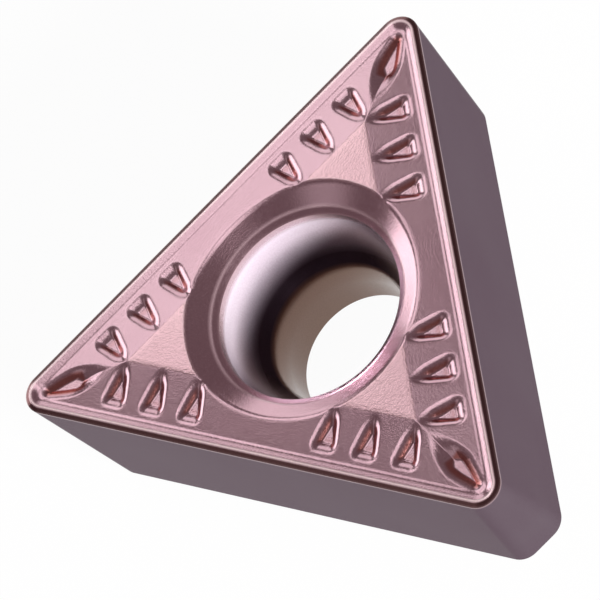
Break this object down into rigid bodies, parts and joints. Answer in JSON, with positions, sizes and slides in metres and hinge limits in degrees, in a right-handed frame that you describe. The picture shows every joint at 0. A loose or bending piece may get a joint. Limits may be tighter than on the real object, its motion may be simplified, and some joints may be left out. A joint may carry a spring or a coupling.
{
  "type": "indexable cutting insert",
  "caption": "Small triangular sintered carbide cutting insert with a screw hole, a chip breaker of pits and facets on its face, and a rose coating.",
  "frame": {"origin": "on the screw hole's axis, in the plane of the flat seat face that the insert rests on", "axes": "+Z along the hole's axis from the seat face towards the cutting face; +Y towards one of the corners; +X along the side opposite that corner"},
  "size_m": [0.0104, 0.0091, 0.0032],
  "materials": {
    "insert": "satin rose coating on sintered carbide, greyer on the flanks"
  },
  "bodies": {
    "root": {"insert": "insert"}
  },
  "joints": []
}
